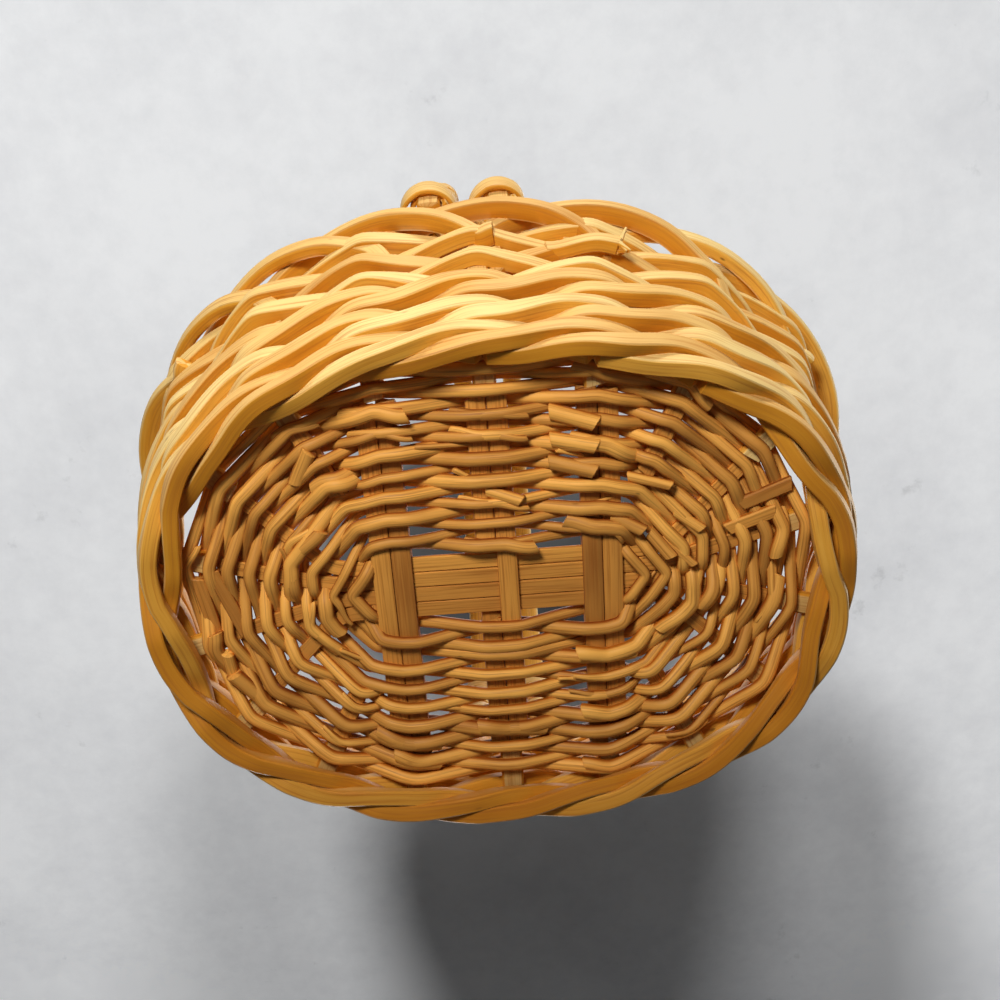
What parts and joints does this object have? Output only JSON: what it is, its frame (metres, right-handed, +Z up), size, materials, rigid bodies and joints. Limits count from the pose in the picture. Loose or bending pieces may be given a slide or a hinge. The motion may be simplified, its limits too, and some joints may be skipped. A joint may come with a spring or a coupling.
{
  "type": "gathering basket",
  "caption": "Oval open willow basket with a woven stick base, flat waled wall, open scalloped border and a fixed double hoop handle, for gathering and carrying produce.",
  "frame": {"origin": "centre of the footprint, on the surface that the basket stands on", "axes": "+Z up, +X along the oval, the handle crossing the mouth along Y"},
  "size_m": [0.3272, 0.297, 0.3],
  "materials": {
    "base_stick": "varnished split willow",
    "base_weaver": "varnished round willow",
    "stake": "varnished split willow",
    "wale": "varnished split willow",
    "handle_rod": "varnished round willow",
    "handle_ribbon": "varnished willow skein"
  },
  "bodies": {
    "root": {"base_slat_1": "base_stick", "base_slat_2": "base_stick", "base_slat_3": "base_stick", "base_slat_4": "base_stick", "cross_stick_left_1": "base_stick", "cross_stick_left_2": "base_stick", "cross_stick_middle_1": "base_stick", "cross_stick_middle_2": "base_stick", "cross_stick_right_1": "base_stick", "cross_stick_right_2": "base_stick", "corner_stick_1": "base_stick", "corner_stick_2": "base_stick", "corner_stick_3": "base_stick", "corner_stick_4": "base_stick", "base_weaver_01": "base_weaver", "base_weaver_02": "base_weaver", "base_weaver_03": "base_weaver", "base_weaver_04": "base_weaver", "base_weaver_05": "base_weaver", "base_weaver_06": "base_weaver", "base_weaver_07": "base_weaver", "base_weaver_08": "base_weaver", "base_weaver_09": "base_weaver", "base_weaver_10": "base_weaver", "base_weaver_11": "base_weaver", "base_weaver_12": "base_weaver", "stake_01": "stake", "stake_02": "stake", "stake_03": "stake", "stake_04": "stake", "stake_05": "stake", "stake_06": "stake", "stake_07": "stake", "stake_08": "stake", "stake_09": "stake", "stake_10": "stake", "stake_11": "stake", "stake_12": "stake", "stake_13": "stake", "stake_14": "stake", "stake_15": "stake", "stake_16": "stake", "stake_17": "stake", "stake_18": "stake", "wale_foot_1": "wale", "wale_foot_2": "wale", "wale_foot_3": "wale", "wale_middle_1": "wale", "wale_middle_2": "wale", "wale_middle_3": "wale", "wale_upper_1": "wale", "wale_upper_2": "wale", "wale_upper_3": "wale", "handle_hoop_left": "handle_rod", "handle_hoop_right": "handle_rod", "handle_wrap_left_front": "handle_ribbon", "handle_wrap_left_back": "handle_ribbon", "handle_wrap_right_front": "handle_ribbon", "handle_wrap_right_back": "handle_ribbon"}
  },
  "joints": []
}
